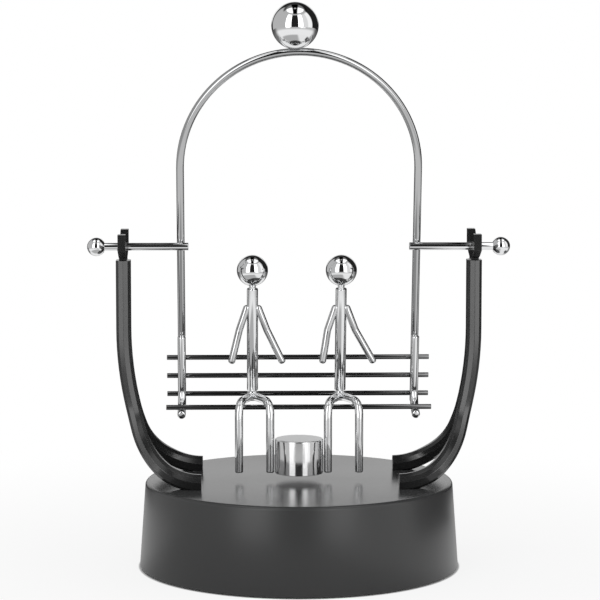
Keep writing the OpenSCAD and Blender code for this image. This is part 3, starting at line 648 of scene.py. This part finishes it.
def makeEndBall():
    b = endBall
    centre = Vector((b["across"], 0, axle["height"]))
    piece = makeBall("rightEndBall", b["radius"], b["rings"], b["sides"], centre,
                     (0, math.radians(90), 0))
    edit(piece)
    mouth = (b["across"] - b["radius"] * b["mouth"]) * mm
    pick(piece, "verts", lambda v: v.co.x < mouth)
    bpy.ops.mesh.delete(type="VERT")
    pick(piece, "edges", lambda e: e.is_boundary)
    bpy.ops.mesh.extrude_region_move(TRANSFORM_OT_translate={"value": (b["lip"] * mm, 0, 0)})
    ring = math.sqrt(sum((v.co.yz - (centre * mm).yz).length_squared
                         for v in bmesh.from_edit_mesh(piece.data).verts if v.select) / b["sides"])
    inner = b["bore"] * mm / ring
    bpy.ops.transform.resize(value=(1, inner, inner), center_override=centre * mm)
    bpy.ops.mesh.extrude_region_move(TRANSFORM_OT_translate={"value": (b["radius"] * mm, 0, 0)})
    bpy.ops.mesh.edge_face_add()
    turnOutwards()
    smooth(piece)
    return piece


def mirrored(piece, name):
    twin = copyOf(piece, name)
    twin.scale.x = -1
    bpy.ops.object.transform_apply(location=True, rotation=True, scale=True)
    edit(twin, everything=True)
    turnOutwards()
    smooth(twin)
    return twin


def makeAxle():
    r = axleRod
    rod = drawWire("rightAxleRod", (r["inner"], 0, axle["height"]), (1, 0, 0), r["wire"],
                   [("run", r["outer"] - r["inner"])])
    ball = makeEndBall()
    for piece, node in ((rod, "axle_rod"), (ball, "end_ball")):
        twin = mirrored(piece, piece.name.replace("right", "left"))
        finish(piece, "swing", "chrome", "right_" + node)
        finish(twin, "swing", "chrome", "left_" + node)


makeArch()
makeTopBall()
makeAxle()
print("arch and axle modelled")


# Bench

bars = {"wire": 1.0, "half": 52.0, "back": 5.58, "drops": (48.0, 55.7, 63.4),
        "seatBack": -11.66, "seatDrop": 62.5}
bracket = {"wire": 1.6, "across": 46.0, "back": -0.10, "top": -37.0, "rail": -65.14,
           "bend": 6.0, "front": -13.66}


def makeBars():
    b = bars
    top, middle, bottom = b["drops"]
    places = [("backBarTop", "back_bar_top", b["back"], top),
              ("backBarMiddle", "back_bar_middle", b["back"], middle),
              ("backBarBottom", "back_bar_bottom", b["back"], bottom),
              ("seatBar", "seat_bar", b["seatBack"], b["seatDrop"])]
    stock = drawWire("barStock", (-b["half"], 0, 0), (1, 0, 0), b["wire"],
                     [("run", 2 * b["half"])], sides=24)
    for name, node, back, drop in places:
        piece = copyOf(stock, name)
        piece.location = (0, back * mm, -drop * mm)
        bpy.ops.object.transform_apply(location=True, rotation=True, scale=True)
        finish(leanBack(piece), "swing", "chrome", node, chromes["bars"])
    bpy.data.objects.remove(stock)


def makeBrackets():
    b = bracket
    top = (b["across"], b["back"], b["top"])
    piece = drawWire("rightSeatBracket", top, (0, 0, -1), b["wire"], [
        ("run", b["top"] - b["rail"] - b["bend"]), ("bend", b["bend"], 90, (0, -1, 0)),
        ("run", b["back"] - b["bend"] - b["front"])])
    leanBack(piece)
    twin = mirrored(piece, "leftSeatBracket")
    finish(piece, "swing", "chrome", "right_seat_bracket")
    finish(twin, "swing", "chrome", "left_seat_bracket")


makeBars()
makeBrackets()
print("bench modelled")


# Figures

figure = {"across": 17.4, "shift": -0.7, "back": 2.34, "torso": 2.2, "torsoFoot": -60.524,
          "torsoTop": -18.1, "head": 6.1, "headDrop": 10.6, "neck": 1.3, "weld": 0.04,
          "rings": 48, "sides": 64}
arms = {"wire": 1.4, "shoulder": (1.92, 0.3, 25.0), "elbowDrop": 35.0, "handDrop": 46.6,
        "reach": 4.0, "elbowReach": 0.3, "nearElbow": 5.2, "nearHand": 7.6, "farElbow": 5.7,
        "farHand": 12.0, "outward": 0.5, "bend": 6.0}
legs = {"wire": 1.6, "stance": 6.1, "knee": 5.0, "thigh": 64.819, "hipBack": 16.457,
        "front": 1.6, "foot": 36.9, "hub": 1.9}


def makeHead(name, side):
    f = figure
    centre = Vector((side * f["across"] + f["shift"], f["back"], -f["headDrop"]))
    piece = makeBall(name, f["head"], f["rings"], f["sides"], centre)
    edit(piece)
    ringStep = math.pi / f["rings"]  # the ball is opened between its second and third ring
    low = (centre.z - f["head"] * math.cos(2.5 * ringStep)) * mm
    pick(piece, "verts", lambda v: v.co.z < low)
    bpy.ops.mesh.delete(type="VERT")
    pick(piece, "edges", lambda e: e.is_boundary)
    neck = f["neck"] / (f["head"] * math.sin(3 * ringStep))
    # the ring closes to the neck in two steps
    for drop, scale in ((0.1, 0.5 + neck / 2), (0.16, 2 * neck / (1 + neck))):
        bpy.ops.mesh.extrude_region_move(TRANSFORM_OT_translate={"value": (0, 0, -drop * mm)})
        bpy.ops.transform.resize(value=(scale, scale, 1), center_override=centre * mm)
    ends = [v.co.z for v in bmesh.from_edit_mesh(piece.data).verts if v.select]
    drop = (f["torsoTop"] + f["weld"]) * mm - min(ends)
    bpy.ops.mesh.extrude_region_move(TRANSFORM_OT_translate={"value": (0, 0, drop)})
    bpy.ops.mesh.edge_face_add()
    turnOutwards()
    smooth(piece, 50)
    return leanBack(piece)


def makeArm(name, side, out):
    a, f = arms, figure
    near = out < 0
    elbowX = -a["nearElbow"] if near else a["farElbow"]
    handX = (-a["nearHand"] if near else a["farHand"]) + side * a["outward"]
    origin = Vector((side * f["across"] + f["shift"], f["back"], 0))
    shoulder = origin + Vector((out * a["shoulder"][0], -a["shoulder"][1], -a["shoulder"][2]))
    elbow = origin + Vector((elbowX, -a["reach"] * a["elbowReach"], -a["elbowDrop"]))
    hand = origin + Vector((handX, -a["reach"], -a["handDrop"]))
    upper, lower = elbow - shoulder, hand - elbow
    turn = math.degrees(upper.angle(lower))
    cut = a["bend"] * math.tan(math.radians(turn / 2))
    return drawWire(name, shoulder, upper, a["wire"], [
        ("run", upper.length - cut), ("bend", a["bend"], turn, lower),
        ("run", lower.length - cut + a["wire"])], tip=0.85)


def makeArms(name, side):
    return leanBack(joined([makeArm(name, side, -1), makeArm(name + "Far", side, 1)]))


def makeLegs(name, side):
    g, f = legs, figure
    hip = Vector((side * f["across"] + f["shift"], g["hipBack"], g["thigh"]))
    pair = []
    for out in (-1, 1):
        thigh = Vector((out * g["stance"] - f["shift"], -g["front"] - g["hipBack"], 0))
        pair.append(drawWire(name + str(out), hip, thigh, g["wire"], [
            ("run", thigh.length - g["knee"]), ("bend", g["knee"], 90, (0, 0, -1)),
            ("run", g["thigh"] - g["knee"] - g["foot"])]))
    bpy.ops.mesh.primitive_cylinder_add(vertices=32, radius=f["torso"] * mm,
                                        depth=2 * g["hub"] * mm, location=hip * mm)
    hub = begin(name)
    edit(hub)
    pick(hub, "edges", lambda e: any(len(face.verts) > 4 for face in e.link_faces))
    bpy.ops.mesh.bevel(offset=0.3 * mm, segments=3, affect="EDGES")
    bpy.ops.object.mode_set(mode="OBJECT")
    smooth(hub, 40)
    return joined([hub] + pair)


def makeTorso(name, side):
    f = figure
    at = (side * f["across"] + f["shift"], f["back"], f["torsoFoot"])
    piece = drawWire(name, at, (0, 0, 1), f["torso"], [("run", f["torsoTop"] - f["torsoFoot"])],
                     tip=0.4)
    return leanBack(piece)


for side, word in ((-1, "left"), (1, "right")):
    makers = {"Head": makeHead, "Torso": makeTorso, "Arms": makeArms, "Legs": makeLegs}
    for part, make in makers.items():
        piece = make(word + "Figure" + part, side)
        finish(piece, "swing", "chrome", word + "_figure_" + part.lower(),
               chromes["arms"] if part == "Arms" else None)
print("figures modelled")


# Magnet cup

cup = {"radius": 9.45, "height": 13.5, "foot": 36.9, "front": 1.6, "wall": 1.5, "top": 3.0,
       "bevel": 0.5, "lip": 0.2, "sides": 96}


def makeCup():
    c = cup
    deselectAll()
    bpy.ops.mesh.primitive_cylinder_add(
        vertices=c["sides"], radius=c["radius"] * mm, depth=c["height"] * mm,
        location=(0, -c["front"] * mm, (c["foot"] + c["height"] / 2) * mm))
    piece = begin("magnetCup")
    edit(piece)
    top = (c["foot"] + c["height"] - 0.01) * mm
    pick(piece, "edges", lambda e: all(v.co.z > top for v in e.verts))
    bpy.ops.mesh.bevel(offset=c["bevel"] * mm, segments=3, affect="EDGES")
    pick(piece, "faces", lambda f: f.normal.z < -0.99)
    bpy.ops.mesh.inset(thickness=c["wall"] * mm)
    bpy.ops.mesh.extrude_region_move(
        TRANSFORM_OT_translate={"value": (0, 0, (c["height"] - c["top"]) * mm)})
    pick(piece, "edges", lambda e: all(v.co.z < (c["foot"] + 0.01) * mm for v in e.verts))
    bpy.ops.mesh.bevel(offset=c["lip"] * mm, segments=2, affect="EDGES")
    bpy.ops.object.mode_set(mode="OBJECT")
    smooth(piece, 25)
    keepFlat(piece)
    finish(piece, "swing", "chrome", "magnet_cup", chromes["cup"])


makeCup()
print("magnet cup modelled")

deselectAll()
